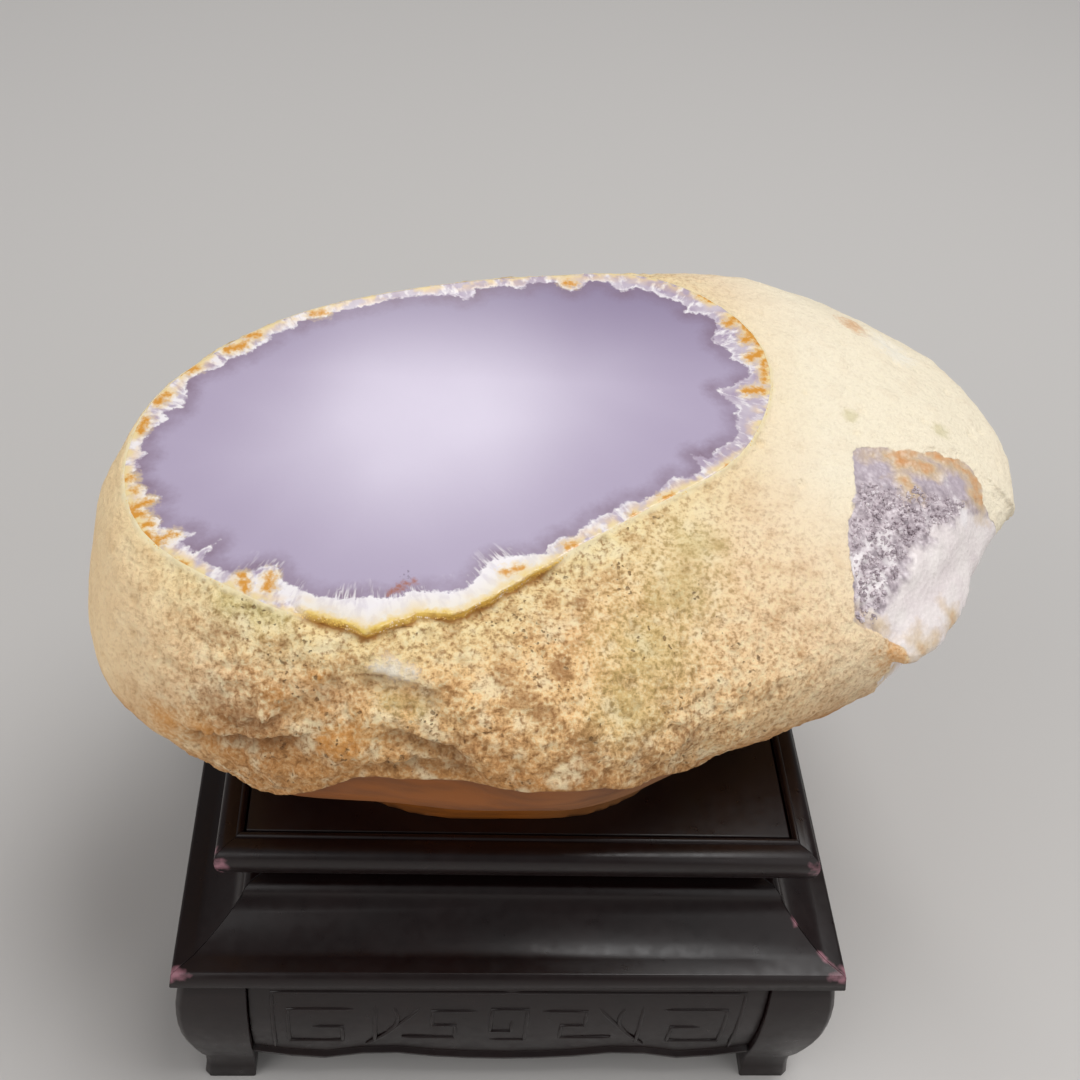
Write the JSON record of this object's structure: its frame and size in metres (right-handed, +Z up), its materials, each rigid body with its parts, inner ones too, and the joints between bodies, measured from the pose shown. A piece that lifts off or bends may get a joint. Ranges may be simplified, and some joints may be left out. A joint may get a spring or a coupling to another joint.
{
  "type": "rough chalcedony",
  "caption": "Rough chalcedony nodule with one flat polished window, a porous rind and a chipped drusy end, resting on a square lacquered wooden stand.",
  "frame": {"origin": "middle of the whole object's box in plan, on the floor under the stand's feet", "axes": "+Z up; +X to the right along the stand's front, the nodule's long way; +Y towards the back"},
  "size_m": [0.152, 0.1138, 0.1164],
  "materials": {
    "chalcedony": "dull, finely pitted cream-tan rind; the window is polished, translucent grey-lavender",
    "lacquered_wood": "glossy dark red-brown lacquer, worn paler at the corners"
  },
  "bodies": {
    "root": {"nodule": "chalcedony", "top_panel": "lacquered_wood", "rail_front": "lacquered_wood", "rail_right": "lacquered_wood", "rail_back": "lacquered_wood", "rail_left": "lacquered_wood", "waist_front": "lacquered_wood", "waist_right": "lacquered_wood", "waist_back": "lacquered_wood", "waist_left": "lacquered_wood", "shoulder_front": "lacquered_wood", "shoulder_right": "lacquered_wood", "shoulder_back": "lacquered_wood", "shoulder_left": "lacquered_wood", "apron_front": "lacquered_wood", "apron_right": "lacquered_wood", "apron_back": "lacquered_wood", "apron_left": "lacquered_wood", "leg_front_left": "lacquered_wood", "leg_front_right": "lacquered_wood", "leg_back_right": "lacquered_wood", "leg_back_left": "lacquered_wood"}
  },
  "joints": []
}
